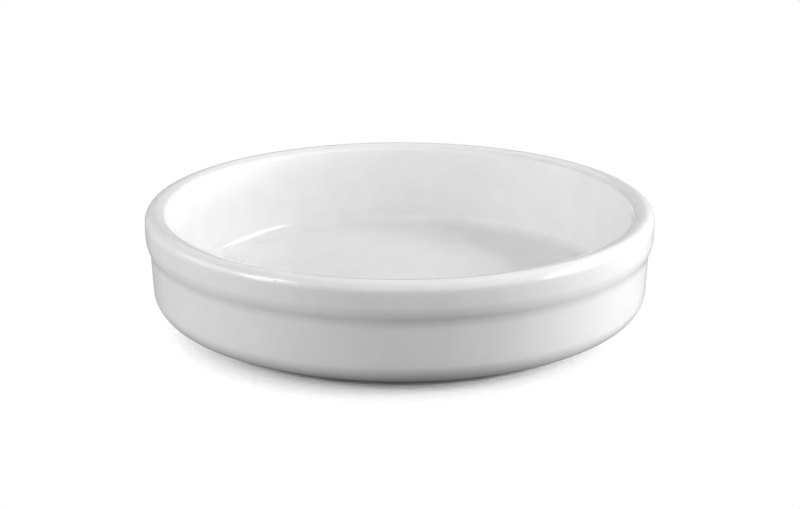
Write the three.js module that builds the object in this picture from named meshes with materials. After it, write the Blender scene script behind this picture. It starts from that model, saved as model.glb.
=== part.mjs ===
// Round creme brulee dish in glazed porcelain: a shallow bowl with a nearly upright wall, a stepped collar round
// the rim, and a rounded lower edge that is undercut down to a low foot ring. The clay body is one piece, and a coat
// of glaze covers all of it but the foot ring, which is wiped bare before firing, so the glaze under the base is a
// patch of its own.
// Units are millimetres, +Z is up, and the origin is the centre of the circle on which the foot ring stands.
import * as THREE from 'three';

// Whole dish, measured over the glaze
const overallDiameter = 127;
const overallHeight = 27.5;
const glazeThickness = 0.35;

// Collar and rim
const collarHeight = 7.17;
const collarOverhang = 1.12;
const collarUndersideDrop = 2.68;
const collarEdgeRound = 7.2;
const collarJunctionFillet = 6.2;
const rimWidth = 5.3;
const rimFallAngle = 15;
const rimOuterRound = 2.6;
const rimInnerRound = 1.4;

// Wall and floor
const outerDraftAngle = 2.4;
const innerDraftAngle = 4;
const lowerEdgeRound = 5.2;
const floorThickness = 4.1;
const floorFillet = 3;

// Foot ring, whose diameter is that of its bare clay, the undercut that rises from it and the recess inside it
const footDiameter = 107.5;
const footWidth = 4;
const footHeight = 0.45;
const footEdgeRound = 0.15;
const footRootFillet = 0.2;
const bareFootHeight = 0.25;
const undercutRise = 3.95;
const recessDepth = 1.2;

// Fineness of the facets: steps round the dish, and how far a chord may stand off an arc of the profile
const stepsAround = 56;
const chordTolerance = 0.05;

const slopePerHeight = (degrees) => Math.tan(THREE.MathUtils.degToRad(degrees));

// Heights and radii that follow from the driving dimensions
const collarRadius = overallDiameter / 2;
const footRadius = footDiameter / 2;
const footInnerRadius = footRadius - footWidth;
const collarEdgeHeight = overallHeight - collarHeight;
const junctionHeight = collarEdgeHeight - collarUndersideDrop;
const junctionRadius = collarRadius - collarOverhang;
const wallBaseHeight = footHeight + undercutRise;
const wallBaseRadius = junctionRadius - (junctionHeight - wallBaseHeight) * slopePerHeight(outerDraftAngle);
const floorHeight = recessDepth + floorThickness;

// The rim's top falls towards the well. Its line touches the outer rounding, whose crest is the overall height.
const rimFall = THREE.MathUtils.degToRad(rimFallAngle);
const rimCornerRise = rimOuterRound * ((1 + Math.sin(rimFall)) / Math.cos(rimFall) - 1);
const rimCornerHeight = overallHeight + rimCornerRise;
const rimInnerRadius = collarRadius - rimWidth;
const rimInnerHeight = rimCornerHeight - rimWidth * Math.tan(rimFall);
const wellBaseRadius = rimInnerRadius - (rimInnerHeight - floorHeight) * slopePerHeight(innerDraftAngle);

const corner = (radius, height, rounding = 0) => ({ at: new THREE.Vector2(radius, height), rounding });

// The side of a direction of travel that faces out of the material, which lies on the left of every outline here.
const outwardFrom = (direction) => new THREE.Vector2(direction.y, -direction.x);

// Walks from corner to corner and turns each rounded corner into an arc. A stop has the point and its outward normal.
function roundedOutline(corners) {
  const stops = [];
  for (let i = 0; i < corners.length; i += 1) {
    const { at, rounding } = corners[i];
    const before = corners[Math.max(i - 1, 0)].at;
    const after = corners[Math.min(i + 1, corners.length - 1)].at;
    const inward = new THREE.Vector2().subVectors(at, before).normalize();
    const onward = new THREE.Vector2().subVectors(after, at).normalize();
    if (rounding === 0) {
      const normal = outwardFrom(i === 0 ? onward : inward);
      stops.push({ point: at.clone(), normal });
      continue;
    }
    const turn = Math.atan2(inward.cross(onward), inward.dot(onward));
    const side = Math.sign(turn);
    const tangentLength = rounding * Math.tan(Math.abs(turn) / 2);
    const startNormal = outwardFrom(inward);
    const centre = at.clone().addScaledVector(inward, -tangentLength).addScaledVector(startNormal, -side * rounding);
    const stepAngle = 2 * Math.acos(Math.max(1 - chordTolerance / rounding, 0));
    const steps = Math.max(2, Math.ceil(Math.abs(turn) / stepAngle));
    for (let step = 0; step <= steps; step += 1) {
      const normal = startNormal.clone().rotateAround(new THREE.Vector2(), (turn * step) / steps);
      const point = centre.clone().addScaledVector(normal, side * rounding);
      stops.push({ point, normal });
    }
  }
  return stops;
}

const surfacePoints = (stops) => stops.map(({ point }) => point.clone());

// The clay surface under a glazed stretch lies one glaze thickness inside it.
const clayPoints = (stops) => stops.map(({ point, normal }) => point.clone().addScaledVector(normal, -glazeThickness));

// Glazed stretch of the outside and the well: from the glaze line on the foot, over the rim, to the middle of the floor
const coatStops = roundedOutline([
  corner(footRadius + glazeThickness, bareFootHeight),
  corner(footRadius + glazeThickness, footHeight, footRootFillet),
  corner(wallBaseRadius, wallBaseHeight, lowerEdgeRound),
  corner(junctionRadius, junctionHeight, collarJunctionFillet),
  corner(collarRadius, collarEdgeHeight, collarEdgeRound),
  corner(collarRadius, rimCornerHeight, rimOuterRound),
  corner(rimInnerRadius, rimInnerHeight, rimInnerRound),
  corner(wellBaseRadius, floorHeight, floorFillet),
  corner(0, floorHeight),
]);

// Glazed stretch of the recess: from the middle of the base to the glaze line on the inside of the foot
const recessStops = roundedOutline([
  corner(0, recessDepth),
  corner(footInnerRadius - glazeThickness, recessDepth, footRootFillet),
  corner(footInnerRadius - glazeThickness, bareFootHeight),
]);

// Bare stretch: round the foot ring from one glaze line to the other
const footStops = roundedOutline([
  corner(footInnerRadius, bareFootHeight),
  corner(footInnerRadius, 0, footEdgeRound),
  corner(footRadius, 0, footEdgeRound),
  corner(footRadius, bareFootHeight),
]);

const barePorcelain = new THREE.MeshStandardMaterial({ color: 0xe6e2da, roughness: 0.85, metalness: 0 });
const whiteGlaze = new THREE.MeshStandardMaterial({ color: 0xf3f3f1, roughness: 0.1, metalness: 0 });

const dish = new THREE.Group();
dish.name = 'creme_brulee_dish';
dish.rotation.x = Math.PI / 2;

function addTurnedPiece(name, profile, material) {
  const piece = new THREE.Mesh(new THREE.LatheGeometry(profile, stepsAround), material);
  piece.name = name;
  dish.add(piece);
}

// Fired clay body, in one piece from the base to the rim. The glaze lines are shared by two stretches of its profile.
const bareFootPoints = surfacePoints(footStops).slice(1, -1);
const bodyProfile = [...clayPoints(recessStops), ...bareFootPoints, ...clayPoints(coatStops)];
addTurnedPiece('porcelain_body', bodyProfile, barePorcelain);

// Glaze over the outside, the rim and the well, laid on the clay
const coatUnderside = clayPoints(coatStops).reverse();
addTurnedPiece('glaze_coat', [...coatUnderside, ...surfacePoints(coatStops)], whiteGlaze);

// Glaze in the recess under the base
const baseUpperSide = clayPoints(recessStops).reverse();
addTurnedPiece('base_glaze', [...surfacePoints(recessStops), ...baseUpperSide], whiteGlaze);

export default dish;
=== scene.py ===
# A round creme brulee dish in white glazed porcelain, standing on a white studio table.
import math

import bmesh
import bpy
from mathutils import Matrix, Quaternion, Vector


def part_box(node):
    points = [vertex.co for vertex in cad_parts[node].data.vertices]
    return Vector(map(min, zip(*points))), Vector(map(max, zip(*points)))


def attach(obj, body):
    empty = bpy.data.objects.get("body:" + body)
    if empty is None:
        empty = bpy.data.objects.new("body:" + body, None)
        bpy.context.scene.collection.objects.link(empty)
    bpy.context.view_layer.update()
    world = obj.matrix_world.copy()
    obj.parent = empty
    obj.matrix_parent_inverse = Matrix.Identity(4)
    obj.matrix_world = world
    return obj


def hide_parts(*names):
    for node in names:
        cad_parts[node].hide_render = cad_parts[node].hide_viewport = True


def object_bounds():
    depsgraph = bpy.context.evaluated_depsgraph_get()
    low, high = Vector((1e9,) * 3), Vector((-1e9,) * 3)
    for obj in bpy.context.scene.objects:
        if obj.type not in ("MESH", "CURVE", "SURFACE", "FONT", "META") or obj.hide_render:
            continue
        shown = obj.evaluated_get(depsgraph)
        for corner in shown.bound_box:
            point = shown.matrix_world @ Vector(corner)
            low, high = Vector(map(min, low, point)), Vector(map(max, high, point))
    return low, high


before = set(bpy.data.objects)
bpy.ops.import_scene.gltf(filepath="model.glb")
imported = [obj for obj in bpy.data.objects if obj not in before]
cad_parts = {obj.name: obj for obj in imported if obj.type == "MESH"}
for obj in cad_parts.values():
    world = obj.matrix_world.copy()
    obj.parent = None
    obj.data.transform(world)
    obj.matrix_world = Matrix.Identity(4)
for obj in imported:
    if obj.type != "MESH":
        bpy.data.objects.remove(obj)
cad_low, cad_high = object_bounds()

# Porcelain body
# The clay of the dish, jiggered in one piece from the base to the rim and fired hard. Glaze hides all of it
# but the foot ring, which is wiped bare before firing so that the dish doesn't stick to the kiln shelf.
MM = 0.001
glaze_thickness = 0.35 * MM
collar_height = 7.17 * MM
collar_overhang = 1.12 * MM
collar_underside_drop = 2.68 * MM
collar_edge_round = 7.2 * MM
junction_fillet = 6.2 * MM
rim_width = 5.3 * MM
rim_fall_angle = math.radians(15)
rim_outer_round = 2.6 * MM
rim_inner_round = 1.4 * MM
outer_draft_angle = math.radians(2.4)
inner_draft_angle = math.radians(4)
lower_edge_round = 5.2 * MM
undercut_rise = 3.95 * MM
floor_thickness = 4.1 * MM
floor_fillet = 3 * MM
foot_radius = 53.75 * MM
foot_width = 4 * MM
foot_height = 0.45 * MM
foot_edge_round = 0.15 * MM
foot_root_fillet = 0.2 * MM
recess_depth = 1.2 * MM

# Radii and heights that follow from the frame and from the sizes above
collar_radius = cad_high.x
crest_height = cad_high.z
glaze_line_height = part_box("glaze_coat")[0].z
collar_edge_height = crest_height - collar_height
junction_radius = collar_radius - collar_overhang
junction_height = collar_edge_height - collar_underside_drop
rim_inner_radius = collar_radius - rim_width
rim_corner_rise = rim_outer_round * ((1 + math.sin(rim_fall_angle)) / math.cos(rim_fall_angle) - 1)
rim_corner_height = crest_height + rim_corner_rise
rim_inner_height = rim_corner_height - rim_width * math.tan(rim_fall_angle)
foot_inner_radius = foot_radius - foot_width
wall_base_height = foot_height + undercut_rise
wall_base_radius = junction_radius - (junction_height - wall_base_height) * math.tan(outer_draft_angle)
floor_height = recess_depth + floor_thickness
well_base_radius = rim_inner_radius - (rim_inner_height - floor_height) * math.tan(inner_draft_angle)

# Outlines are corners of (radius, height, rounding), and run with the material on their left.
coat_corners = [
    (foot_radius + glaze_thickness, glaze_line_height, 0),
    (foot_radius + glaze_thickness, foot_height, foot_root_fillet),
    (wall_base_radius, wall_base_height, lower_edge_round),
    (junction_radius, junction_height, junction_fillet),
    (collar_radius, collar_edge_height, collar_edge_round),
    (collar_radius, rim_corner_height, rim_outer_round),
    (rim_inner_radius, rim_inner_height, rim_inner_round),
    (well_base_radius, floor_height, floor_fillet),
    (0, floor_height, 0),
]
recess_corners = [
    (0, recess_depth, 0),
    (foot_inner_radius - glaze_thickness, recess_depth, foot_root_fillet),
    (foot_inner_radius - glaze_thickness, glaze_line_height, 0),
]
bare_foot_corners = [
    (foot_inner_radius, 0, foot_edge_round),
    (foot_radius, 0, foot_edge_round),
]


def under_glaze(corners):
    """The outline of the clay below a glazed outline, one glaze thickness inside it."""
    points = [Vector((radius, height)) for radius, height, _ in corners]
    ways = [(end - start).normalized() for start, end in zip(points, points[1:])]
    ways_in = [ways[0], *ways]
    ways_out = [*ways, ways[-1]]
    clay = []
    for (_, _, rounding), point, before, after in zip(corners, points, ways_in, ways_out):
        out_before = Vector((before.y, -before.x))
        out_after = Vector((after.y, -after.x))
        inset = (out_before + out_after) / (1 + out_before.dot(out_after)) * glaze_thickness
        turns_left = before.cross(after) > 0
        clay_rounding = rounding and rounding + (-glaze_thickness if turns_left else glaze_thickness)
        clay.append((point.x - inset.x, point.y - inset.y, clay_rounding))
    return clay


steps_around = 192
arc_segments = 10
longest_face = 3 * MM
merge_distance = 0.001 * MM
sharp_edge_angle = math.radians(40)


def turned_piece(name, corners):
    """A smooth solid of revolution about the dish's axis. Its outline starts and ends on that axis."""
    shape = bmesh.new()
    stops = [shape.verts.new((radius, 0, height)) for radius, height, _ in corners]
    for pair in zip(stops, stops[1:]):
        shape.edges.new(pair)
    places = [stop.co.copy() for stop in stops]
    inner_stops = zip(stops[1:], corners[1:], places, places[1:], places[2:])
    rounded = [
        (stop, rounding * math.tan((place - before).angle(after - place) / 2))
        for stop, (_, _, rounding), before, place, after in inner_stops
        if rounding
    ]
    for stop, offset in rounded:
        bmesh.ops.bevel(
            shape, geom=[stop], offset=offset, offset_type="OFFSET", segments=arc_segments,
            profile=0.5, affect="VERTICES", material=-1, clamp_overlap=False,
        )
    long_edges = [edge for edge in shape.edges if edge.calc_length() > longest_face]
    for edge in long_edges:
        cuts = math.ceil(edge.calc_length() / longest_face) - 1
        bmesh.ops.subdivide_edges(shape, edges=[edge], cuts=cuts)
    bmesh.ops.spin(
        shape, geom=shape.verts[:] + shape.edges[:], cent=(0, 0, 0), axis=(0, 0, 1), dvec=(0, 0, 0),
        angle=2 * math.pi, steps=steps_around, use_merge=True,
    )
    bmesh.ops.remove_doubles(shape, verts=shape.verts, dist=merge_distance)
    bmesh.ops.recalc_face_normals(shape, faces=shape.faces)
    mesh = bpy.data.meshes.new(name)
    shape.to_mesh(mesh)
    shape.free()
    mesh.shade_smooth()
    mesh.set_sharp_from_angle(angle=sharp_edge_angle)
    piece = bpy.data.objects.new(name, mesh)
    bpy.context.scene.collection.objects.link(piece)
    return piece


clay_of_recess = under_glaze(recess_corners)
clay_of_coat = under_glaze(coat_corners)
porcelain_body = turned_piece("porcelain_body_fired", clay_of_recess + bare_foot_corners + clay_of_coat)


def linear(hex_colour):
    """An sRGB hex colour as linear RGBA."""
    channels = [int(hex_colour[i:i + 2], 16) / 255 for i in (1, 3, 5)]
    return [c / 12.92 if c <= 0.04045 else ((c + 0.055) / 1.055) ** 2.4 for c in channels] + [1]


def add_node(tree, kind, settings, links=None):
    """Adds a node. Settings are properties or sockets' values, and links are sockets and what feeds them."""
    node = tree.nodes.new(kind)
    for name, value in settings.items():
        if isinstance(name, str) and hasattr(node, name):
            setattr(node, name, value)
        else:
            node.inputs[name].default_value = value
    for name, source in (links or {}).items():
        tree.links.new(source, node.inputs[name])
    return node


def per_metre(size_in_mm):
    """A texture scale that gives marks of about this size."""
    return 1 / (size_in_mm * MM)


def new_material(name):
    """An empty node material, and its tree."""
    material = bpy.data.materials.new(name)
    material.use_nodes = True
    material.node_tree.nodes.clear()
    return material, material.node_tree


# Biscuit porcelain: fired clay with no glaze, so it is matt, faintly cream, and gritty from the kiln shelf.
# The grit of fired clay is too fine to show, so it is drawn coarser.
grit_size_mm = 0.6
grit_depth = 0.03 * MM
grit_dark_end = 0.35
grit_light_end = 0.65
bare_porcelain, tree = new_material("bare biscuit porcelain")
place = add_node(tree, "ShaderNodeTexCoord", {}).outputs["Object"]
grain = add_node(
    tree, "ShaderNodeTexNoise", {"Scale": per_metre(grit_size_mm), "Detail": 3.0}, {"Vector": place}
)
tone = add_node(tree, "ShaderNodeValToRGB", {}, {"Fac": grain.outputs["Fac"]})
tone.color_ramp.elements[0].position = grit_dark_end
tone.color_ramp.elements[0].color = linear("#B4AEA4")
tone.color_ramp.elements[1].position = grit_light_end
tone.color_ramp.elements[1].color = linear("#CFC9BF")
grit = add_node(
    tree, "ShaderNodeBump", {"Strength": 0.5, "Distance": grit_depth}, {"Height": grain.outputs["Fac"]}
)
surface = add_node(
    tree, "ShaderNodeBsdfPrincipled", {"Roughness": 0.8, "IOR": 1.5},
    {"Base Color": tone.outputs["Color"], "Normal": grit.outputs["Normal"]},
)
add_node(tree, "ShaderNodeOutputMaterial", {}, {"Surface": surface.outputs["BSDF"]})
porcelain_body.data.materials.append(bare_porcelain)
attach(porcelain_body, "root")
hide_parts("porcelain_body")

# Glaze coat
# White glaze, a third of a millimetre of glass melted on to the clay. It runs without a break from the glaze
# line on the outside of the foot, where it ends in a rounded lip, up the wall and the collar, over the rim and
# down into the well.
glaze_lip_round = 0.09 * MM
glaze_lip = (foot_radius + glaze_thickness, glaze_line_height, glaze_lip_round)
glaze_coat = turned_piece("glaze_coat_gloss", [*clay_of_coat[::-1], glaze_lip, *coat_corners[1:]])

# Glossy glaze: sharp reflections over a white that is a shade uneven where the coat is thicker or thinner.
# Its surface dips and waves enough to break the edges of the reflections, and has a few pinholes where gas
# came out in the kiln. Three of them lie in a row on the rim's outer edge.
cloud_size_mm = 7
cloud_dark_end = 0.3
cloud_light_end = 0.7
least_roughness = 0.035
most_roughness = 0.065
wave_size_mm = 14
wave_depth = 0.04 * MM
dip_size_mm = 1.6
dip_depth = 0.008 * MM
pinhole_spacing_mm = 24
pit_radius = 0.3 * MM
pit_depth = 0.15 * MM
rim_pits = [
    Vector((-27.3, -57.1, 25.9)) * MM,
    Vector((-21.9, -59.5, 25.8)) * MM,
    Vector((-17.4, -60.9, 25.8)) * MM,
]
white_glaze, tree = new_material("glossy white glaze on porcelain")
place = add_node(tree, "ShaderNodeTexCoord", {}).outputs["Object"]
clouds = add_node(
    tree, "ShaderNodeTexNoise", {"Scale": per_metre(cloud_size_mm), "Detail": 4.0}, {"Vector": place}
)
tone = add_node(tree, "ShaderNodeValToRGB", {}, {"Fac": clouds.outputs["Fac"]})
tone.color_ramp.elements[0].position = cloud_dark_end
tone.color_ramp.elements[0].color = linear("#EFEFEF")
tone.color_ramp.elements[1].position = cloud_light_end
tone.color_ramp.elements[1].color = linear("#F3F3F3")
sheen = add_node(
    tree, "ShaderNodeMapRange",
    {
        "From Min": cloud_dark_end, "From Max": cloud_light_end,
        "To Min": least_roughness, "To Max": most_roughness,
    },
    {"Value": clouds.outputs["Fac"]},
)
waves = add_node(
    tree, "ShaderNodeTexNoise", {"Scale": per_metre(wave_size_mm), "Detail": 1.0}, {"Vector": place}
)
dips = add_node(
    tree, "ShaderNodeTexNoise", {"Scale": per_metre(dip_size_mm), "Detail": 1.0}, {"Vector": place}
)
pinholes = add_node(
    tree, "ShaderNodeTexVoronoi", {"Scale": per_metre(pinhole_spacing_mm)}, {"Vector": place}
)
pit_distance = add_node(
    tree, "ShaderNodeMath", {"operation": "MULTIPLY", 1: pinhole_spacing_mm * MM},
    {0: pinholes.outputs["Distance"]},
)
for pit in rim_pits:
    to_pit = add_node(tree, "ShaderNodeVectorMath", {"operation": "DISTANCE", 1: pit}, {0: place})
    pit_distance = add_node(
        tree, "ShaderNodeMath", {"operation": "MINIMUM"},
        {0: pit_distance.outputs["Value"], 1: to_pit.outputs["Value"]},
    )
pit_shape = add_node(
    tree, "ShaderNodeMapRange", {"interpolation_type": "SMOOTHSTEP", "From Max": pit_radius},
    {"Value": pit_distance.outputs["Value"]},
)
wavy = add_node(
    tree, "ShaderNodeBump", {"Strength": 1.0, "Distance": wave_depth}, {"Height": waves.outputs["Fac"]}
)
dipped = add_node(
    tree, "ShaderNodeBump", {"Strength": 1.0, "Distance": dip_depth},
    {"Height": dips.outputs["Fac"], "Normal": wavy.outputs["Normal"]},
)
pitted = add_node(
    tree, "ShaderNodeBump", {"Strength": 1.0, "Distance": pit_depth},
    {"Height": pit_shape.outputs["Result"], "Normal": dipped.outputs["Normal"]},
)
surface = add_node(
    tree, "ShaderNodeBsdfPrincipled", {"IOR": 1.5},
    {
        "Base Color": tone.outputs["Color"], "Roughness": sheen.outputs["Result"],
        "Normal": pitted.outputs["Normal"],
    },
)
add_node(tree, "ShaderNodeOutputMaterial", {}, {"Surface": surface.outputs["BSDF"]})
glaze_coat.data.materials.append(white_glaze)
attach(glaze_coat, "root")
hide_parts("glaze_coat")

# Base glaze
# The patch of the same glaze in the recess under the dish, melted on in the same firing. The bare foot ring
# cuts it off from the rest.
base_glaze = turned_piece("base_glaze_gloss", recess_corners + clay_of_recess[::-1])
base_glaze.data.materials.append(white_glaze)
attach(base_glaze, "root")
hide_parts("base_glaze")

# Studio table
# A wide sheet of matt white paper, which shows white to the camera. Its white glow fades out in a disc set a
# little towards the camera from the dish: the edge of that disc is painted shadow, and inside it the dish's
# own cast shadow from the lamps shows.
table_reach = 1.5
floor_shape = bmesh.new()
bmesh.ops.create_grid(floor_shape, x_segments=1, y_segments=1, size=table_reach)
floor_mesh = bpy.data.meshes.new("studio_table")
floor_shape.to_mesh(floor_mesh)
floor_shape.free()
studio_table = bpy.data.objects.new("studio_table", floor_mesh)
bpy.context.scene.collection.objects.link(studio_table)

# Matt white paper: no gloss. Its grain is painted into the shadow's edge alone, as noise that shifts where
# the white glow begins, and is drawn coarse enough to show.
paper_bounce = 0.13
paper_seen = 1.0
paper_reflected = 0.4
shadow_edge_grain_mm = 1.2
shadow_edge_grain_depth = 7 * MM
# Painted shadow: the paper's white glow is least within the inner radius of this centre and full beyond the
# outer, so these draw the shadow's edge.
painted_shadow_centre = (-2 * MM, -9 * MM, 0)
painted_shadow_inner_radius = 49.2 * MM
painted_shadow_outer_radius = 59.1 * MM
# Painted light in the shadow: this much white is mixed into the cast shadow, lifting it near the dish.
shadow_painted_lift = 0.13
white_paper, tree = new_material("matt white paper")
light_path = add_node(tree, "ShaderNodeLightPath", {})
paper_tone = add_node(
    tree, "ShaderNodeMix", {"data_type": "FLOAT", "A": paper_bounce, "B": paper_seen},
    {"Factor": light_path.outputs["Is Camera Ray"]},
)
paper = add_node(tree, "ShaderNodeBsdfDiffuse", {}, {"Color": paper_tone.outputs["Result"]})
place = add_node(tree, "ShaderNodeTexCoord", {}).outputs["Object"]
reach = add_node(tree, "ShaderNodeVectorMath", {"operation": "DISTANCE", 1: painted_shadow_centre}, {0: place})
# Painted grain in the shadow's edge: noise that moves the edge of the painted shadow in and out.
grain = add_node(
    tree, "ShaderNodeTexNoise", {"Scale": per_metre(shadow_edge_grain_mm), "Detail": 3.0}, {"Vector": place}
)
grainy_reach = add_node(
    tree, "ShaderNodeMath", {"operation": "MULTIPLY_ADD", 1: shadow_edge_grain_depth},
    {0: grain.outputs["Fac"], 2: reach.outputs["Value"]},
)
# The painted shadow: the glow mask that cuts the white back round the dish.
glow = add_node(
    tree, "ShaderNodeMapRange",
    {"From Min": painted_shadow_inner_radius, "From Max": painted_shadow_outer_radius, "To Min": shadow_painted_lift},
    {"Value": grainy_reach.outputs["Value"]},
)
# The glaze's reflections see the same masked glow, so they show the painted shadow too.
glow_reflected = add_node(
    tree, "ShaderNodeMath", {"operation": "MULTIPLY", 1: paper_reflected},
    {0: light_path.outputs["Is Glossy Ray"]},
)
glow_share = add_node(
    tree, "ShaderNodeMath", {"operation": "MAXIMUM"},
    {0: glow_reflected.outputs["Value"], 1: light_path.outputs["Is Camera Ray"]},
)
seen_glow = add_node(
    tree, "ShaderNodeMath", {"operation": "MULTIPLY"},
    {0: glow.outputs["Result"], 1: glow_share.outputs["Value"]},
)
white = add_node(tree, "ShaderNodeEmission", {"Strength": 1.0})
seen = add_node(
    tree, "ShaderNodeMixShader", {},
    {"Fac": seen_glow.outputs["Value"], 1: paper.outputs["BSDF"], 2: white.outputs["Emission"]},
)
add_node(tree, "ShaderNodeOutputMaterial", {}, {"Surface": seen.outputs["Shader"]})
studio_table.data.materials.append(white_paper)

# Studio light
# Soft panels round the table: a leaning strip on each side, broader and lower ones beside them, weak fill
# from the front, top and back, low white cards, and a small lamp by the rim for its streak.

# Each panel has its bearing from the camera's side towards the right, its height and lean, in degrees, its
# distance, width and depth, in metres, and its power, in watts.
panels = [
    ("right_strip", 96, 33, 22, 0.9, 0.98, 0.25, 3.65),
    ("right_low", 79, 10, 0, 0.9, 0.6, 0.3, 2.1),
    ("right_floor", 98, 3.4, 0, 0.9, 0.42, 0.12, 3.2),
    ("right_card", 95, 0, 0, 0.2, 0.3, 0.02, 0.03),
    ("right_spot", 75, 33, 0, 0.9, 0.05, 0.05, 1.3),
    ("left_strip", 299, 24, 38, 0.9, 0.46, 0.1, 1.9),
    ("left_broad", 319, 38, 0, 1.2, 1.6, 0.9, 2.2),
    ("left_wide", 285, 14, 0, 0.9, 1.1, 0.44, 2.3),
    ("left_card", 285, 0, 0, 0.2, 0.3, 0.02, 0.045),
    ("left_glint", 320, 17, -47, 0.097, 0.0186, 0.0303, 0.009),
    ("front", 15, 35, 0, 1.2, 1.4, 0.7, 2.4),
    ("top", 180, 85, 0, 1.2, 1.0, 1.0, 1.1),
    ("back", 180, 42, 0, 1.2, 1.2, 0.6, 1.4),
]

# Some panels light the dish and don't show in its gloss, and the lamp by the rim shows in the gloss alone.
not_reflected = ["right_spot", "right_card", "left_strip", "left_card"]
only_reflected = ["left_glint"]
lit_point = Vector((0, 0, 14 * MM))
for name, bearing, height, lean, distance, width, depth, power in panels:
    panel_light = bpy.data.lights.new("panel_" + name, "AREA")
    panel_light.shape = "RECTANGLE"
    panel_light.size = width
    panel_light.size_y = depth
    panel_light.energy = power
    panel = bpy.data.objects.new("panel_" + name, panel_light)
    bpy.context.scene.collection.objects.link(panel)
    bearing = math.radians(bearing)
    height = math.radians(height)
    towards = Vector(
        (math.sin(bearing) * math.cos(height), -math.cos(bearing) * math.cos(height), math.sin(height))
    )
    facing = (-towards).to_track_quat("-Z", "Y")
    panel.location = lit_point + distance * towards
    panel.rotation_euler = (facing @ Quaternion((0, 0, 1), math.radians(lean))).to_euler()
    panel.visible_camera = False
    panel.visible_glossy = name not in not_reflected
    panel.visible_diffuse = name not in only_reflected

# The studio's walls: white to the camera, pale in the glaze's reflections, and nearly dark as a source
# of light.
wall_light = 0.08
wall_reflected = 0.48
world = bpy.data.worlds.new("pale studio walls")
bpy.context.scene.world = world
world.use_nodes = True
tree = world.node_tree
light_path = add_node(tree, "ShaderNodeLightPath", {})
reflected = add_node(
    tree, "ShaderNodeMix", {"data_type": "FLOAT", "A": wall_light, "B": wall_reflected},
    {"Factor": light_path.outputs["Is Glossy Ray"]},
)
wall_strength = add_node(
    tree, "ShaderNodeMath", {"operation": "MAXIMUM"},
    {0: reflected.outputs["Result"], 1: light_path.outputs["Is Camera Ray"]},
)
walls = tree.nodes["Background"]
walls.inputs["Color"].default_value = (1, 1, 1, 1)
tree.links.new(wall_strength.outputs["Value"], walls.inputs["Strength"])

# Camera
# It stands before the dish and looks down on its rim. Its lens is given by its focal length in pixels of a
# picture of the width below.
camera_distance = 440 * MM
camera_elevation = math.radians(17.85)
aim = Vector((0.08 * MM, 0, 13.74 * MM))
sensor_width = 36
frame_width_px = 800
focal_length_px = 1737
nearest_seen = 10 * MM
camera_data = bpy.data.cameras.new("camera")
camera_data.sensor_width = sensor_width
camera_data.lens = focal_length_px * sensor_width / frame_width_px
camera_data.clip_start = nearest_seen
camera = bpy.data.objects.new("camera", camera_data)
bpy.context.scene.collection.objects.link(camera)
back = Vector((0, -math.cos(camera_elevation), math.sin(camera_elevation)))
camera.location = aim + camera_distance * back
camera.rotation_euler = (-back).to_track_quat("-Z", "Y").to_euler()
bpy.context.scene.camera = camera
bpy.context.scene.view_settings.view_transform = "Standard"
